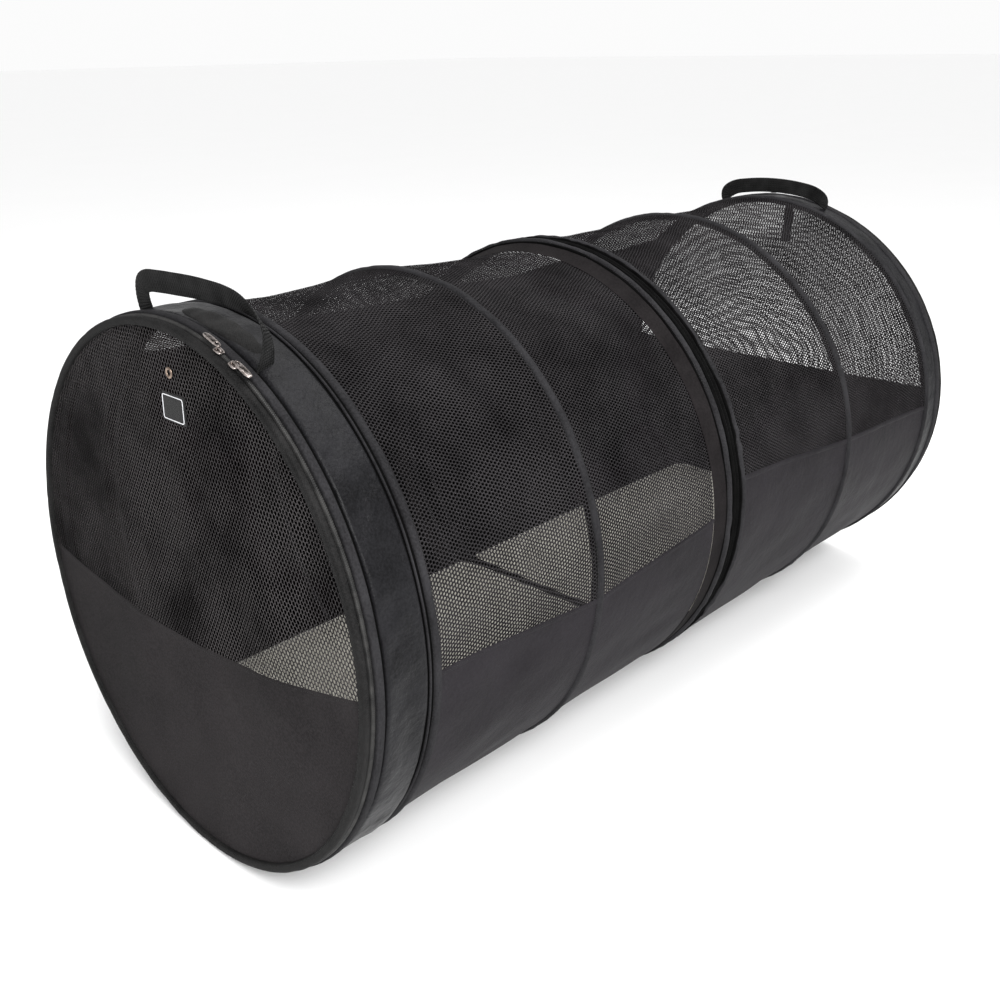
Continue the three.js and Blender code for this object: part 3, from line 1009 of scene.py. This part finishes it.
def ribbon(piece, path, across, width, thickness):
    """Ribbed webbing along a path; across is its width's direction at each point of the path."""
    run = distance_along(path)
    s = np.arange(0, run[-1], RIBBON_STEP)
    line = look_up(s, run, path)
    side = unit(look_up(s, run, across))
    along = unit(np.gradient(line, axis=0))
    side = unit(side - along * np.sum(side * along, axis=1, keepdims=True))
    out = np.cross(along, side)
    t = 2 * math.pi * spans(25)[:-1]
    wide = signed_power(np.cos(t), 0.35) * width / 2
    high = signed_power(np.sin(t), 0.55) * thickness / 2
    ribs = 1 - RIB_DEPTH + RIB_DEPTH * np.abs(np.sin(math.pi * s / WEBBING_RIB))
    taper = np.clip(np.minimum(s, s[-1] - s) / (1.2 * MM), 0.02, 1) ** 0.5
    points = line[:, None] + side[:, None] * (wide[None, :] * taper[:, None])[..., None]
    points = points + out[:, None] * (high[None, :] * (ribs * taper)[:, None])[..., None]
    uv_s = np.append(s, s[-1] + RIBBON_STEP)
    uv_w = np.concatenate([wide, wide[:1]])
    uv = np.stack(np.meshgrid(uv_s, uv_w, indexing="ij"), axis=-1)
    piece.grid(points, WEBBING, uv, wrap=(False, True))


def smooth_line(points, samples=200):
    """A smooth line through a few points, by Catmull-Rom."""
    p = np.array(points, float)
    p = np.concatenate([2 * p[:1] - p[1:2], p, 2 * p[-1:] - p[-2:-1]])
    out = []
    per = samples // (len(p) - 3)
    for k in range(len(p) - 3):
        a, b, c, d = p[k:k + 4]
        t = spans(per + 1)[:-1, None]
        square = (2 * a - 5 * b + 4 * c - d) * t ** 2
        cube = (3 * b - a - 3 * c + d) * t ** 3
        out.append(0.5 * (2 * b + (c - a) * t + square + cube))
    out.append(p[-2:-1])
    return np.concatenate(out)


HANDLE_WIDTH = 24 * MM
HANDLE_THICKNESS = 2.3 * MM


def handle(ring, toward, line):
    """Webbing along (angle, height over the hoops, y from the hoop, twist) in degrees and millimetres.

    A twist of 90 turns the webbing's face along the tunnel, and 0 turns it outwards.
    """
    angle, height, y, twist = smooth_line(line).T
    path = around(angle, RADIUS + height * MM, STATION[ring] + toward * y * MM)
    along = unit(np.gradient(path, axis=0))
    axis = np.array([0, 1.0, 0])
    turn = np.radians(twist)[:, None]
    across = np.cos(turn) * axis * toward + np.sin(turn) * np.cross(axis, along) * toward
    piece = Piece(f"{ring}_handle_strap")
    ribbon(piece, path, across, HANDLE_WIDTH, HANDLE_THICKNESS)
    piece.build(f"{ring}_handle", [f"{ring}_handle"])


handle(
    "front", 1,
    [
        (-11.6, -4, 10, 86), (-11.7, 6, 9, 86), (-11.4, 16, 8, 86), (-10.4, 25, 7, 86), (-8.0, 28.5, 6, 86),
        (-4.0, 28, 6, 85), (1.0, 28.5, 6, 84), (6.0, 31, 7, 82), (11.0, 35, 8, 79), (15.5, 40, 9, 74),
        (19.5, 43.5, 10, 66), (23.0, 41, 12, 54), (25.4, 32, 14, 42), (26.6, 20, 14, 30), (27.1, 8, 14, 20),
        (27.2, -5, 14, 12),
    ],
)
handle(
    "rear", -1,
    [
        (-16.6, -1, 12, 86), (-16.8, 5, 12, 86), (-16.0, 12, 12, 86), (-13.0, 16, 12, 85), (-8.0, 15.5, 12, 84),
        (0.0, 15, 12, 84), (8.0, 15.5, 12, 84), (13.0, 15.5, 12, 85), (16.0, 11.5, 12, 86), (16.8, 5, 12, 86),
        (16.6, -1, 12, 86),
    ],
)

# A padded flap on the band, under the handle, where the two sliders park
FLAP_ANGLE, FLAP_HALF_ANGLE = 12, 14
FLAP_MIDDLE, FLAP_HALF_LENGTH = 22 * MM, 15 * MM
FLAP_SINK, FLAP_RISE = 3.4 * MM, 5.2 * MM
flap_share = spans(61, -1, 1)
flap_a, flap_b = np.meshgrid(flap_share, flap_share, indexing="ij")
flap_x = flap_a * np.sqrt(1 - flap_b ** 2 / 2)
flap_y = flap_b * np.sqrt(1 - flap_a ** 2 / 2)
flap_rise = np.clip(1 - flap_x ** 2 - flap_y ** 2, 0, 1) ** 0.45
flap_points = around(
    FLAP_ANGLE + FLAP_HALF_ANGLE * flap_x,
    RADIUS - FLAP_SINK + FLAP_RISE * flap_rise,
    STATION["front"] + FLAP_MIDDLE + FLAP_HALF_LENGTH * flap_y,
)
flap_folds = (ripple(flap_points, 97, 22, (1.3, 0.5, 1)) * flap_rise)[..., None]
flap_points = flap_points + flap_folds * np.array([0, 0, 1.5 * MM])
flap = Piece("front_slider_flap")
flap.grid(flap_points, BINDING, flap_points[..., [0, 1]])
flap_piece = flap.build("front_end")
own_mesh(flap_piece)

strap_middle, strap_half = centre("rear_door_strap"), half_size("rear_door_strap")
strap = Piece("rear_door_strap_webbing")
drop = spans(40, 1, -1)
strap_path = np.stack([
    strap_middle.x + 2 * MM * np.sin(2 * drop),
    strap_middle.y + 0.6 * MM * np.cos(3 * drop),
    strap_middle.z + strap_half.z * drop,
], axis=-1)
ribbon(strap, strap_path, np.tile([1.0, 0, 0], (len(drop), 1)), 2 * strap_half.x, 1.6 * MM)
strap.build("rear_door", ["rear_door_strap"])

# ---------------------------------------------------------------- floor boards

BOARD_CORNER = 22 * MM
BOARD_EDGE_DEPTH = 4.2 * MM
ROLL_START = 0.9  # the share of the way out from its middle where a board's face starts to roll over

# Loops of points over a board's face, from its middle to its edge, closer together near the edge
BOARD_SHARES = np.concatenate([spans(12, 0.0, 0.92), 0.94 + 0.06 * np.cos(spans(9, 1.2, 0.0))])


def floor_board(end, body):
    """A covered board: a puffed face above and below, and a dark cord round its edge."""
    node = f"floor_board_{end}"
    at, half = centre(node), half_size(node)
    t = 2 * math.pi * spans(161)[:-1]
    c, s = np.cos(t), np.sin(t)
    corner_x = np.clip(c * 3, -1, 1) * (half.x - BOARD_CORNER)
    corner_y = np.clip(s * 3, -1, 1) * (half.y - BOARD_CORNER)
    outline = np.stack([corner_x, corner_y], axis=-1) + BOARD_CORNER * np.stack([c, s], axis=-1)
    piece = Piece(f"{node}_pad")
    loops = []
    for face in (1, -1):
        for share in BOARD_SHARES[::face]:
            inset = outline * share
            rolled = np.clip((share - ROLL_START) / 0.1, 0, 1)
            height = BOARD_EDGE_DEPTH * math.sqrt(max(0, 1 - rolled ** 2)) * face
            flat = np.concatenate([inset, np.zeros((len(t), 1))], axis=1)
            puff = ripple(flat, 90, 11) * 0.4 * MM * (1 - rolled)
            loops.append(np.stack([at.x + inset[:, 0], at.y + inset[:, 1], at.z + height + puff], axis=-1))
    piece.grid(np.stack(loops, axis=1), FLEECE, wrap=(True, False))
    rim = np.stack([at.x + outline[:, 0], at.y + outline[:, 1], np.full(len(t), at.z)], axis=-1)
    closed_cord(piece, rim, 1.2 * MM, 4.6 * MM, (0, 0, 1), BINDING, 12)
    made = piece.build(body, [node], solid=True)
    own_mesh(made)


floor_board("front", "front_end")
floor_board("rear", "ring_e")

# ---------------------------------------------------------------- stage, light and camera

STAGE_HALF = 60
floor_mesh = bpy.data.meshes.new("stage_floor")
floor_corners = [(x * STAGE_HALF, y * STAGE_HALF, 0) for x, y in ((-1, -1), (1, -1), (1, 1), (-1, 1))]
floor_mesh.from_pydata(floor_corners, [], [(0, 1, 2, 3)])
floor = bpy.data.objects.new("stage_floor", floor_mesh)
floor.location.z = -0.5 * MM
bpy.context.scene.collection.objects.link(floor)
floor_shader = Shader("stage_floor", Roughness=0.9)
floor_shader.colour(floor_shader.mix(floor_shader.noise(2), grey(0.95), grey(0.97)))
floor_mesh.materials.append(floor_shader.material)

world = bpy.data.worlds.new("studio")
world.use_nodes = True
world.node_tree.nodes["Background"].inputs["Color"].default_value = (1, 1, 1, 1)
world.node_tree.nodes["Background"].inputs["Strength"].default_value = 0.97
bpy.context.scene.world = world


def soft_light(name, place, energy, size):
    light = bpy.data.lights.new(name, "AREA")
    light.energy = energy
    light.size = size
    lamp = bpy.data.objects.new(name, light)
    lamp.location = place
    aim = Vector((0, 0, RADIUS)) - Vector(place)
    lamp.rotation_euler = aim.to_track_quat("-Z", "Y").to_euler()
    bpy.context.scene.collection.objects.link(lamp)


soft_light("key", (2.2, -1.4, 2.0), 110, 1.2)
soft_light("top", (0.4, 0.6, 2.6), 40, 1.6)

# The camera that the photograph fits, from the round hoops and the tunnel's length
CAMERA_PLACE = Vector((0.9996, -1.1379, 0.8583))
YAW, PITCH, ROLL = math.radians(-44.08), math.radians(16.15), math.radians(-1.02)
ahead = Vector((math.sin(YAW) * math.cos(PITCH), math.cos(YAW) * math.cos(PITCH), -math.sin(PITCH)))
right = ahead.cross(Vector((0, 0, 1))).normalized()
up = right.cross(ahead)
right_rolled = math.cos(ROLL) * right + math.sin(ROLL) * up
up_rolled = -math.sin(ROLL) * right + math.cos(ROLL) * up
camera_data = bpy.data.cameras.new("camera")
camera_data.lens = 40.865
camera_data.sensor_width = 36
camera_data.shift_y = -0.126
camera = bpy.data.objects.new("camera", camera_data)
axes = Matrix((right_rolled, up_rolled, -ahead)).transposed().to_4x4()
camera.matrix_world = Matrix.Translation(CAMERA_PLACE) @ axes
bpy.context.scene.collection.objects.link(camera)
bpy.context.scene.camera = camera
bpy.context.scene.view_settings.view_transform = "Standard"

bpy.context.view_layer.update()
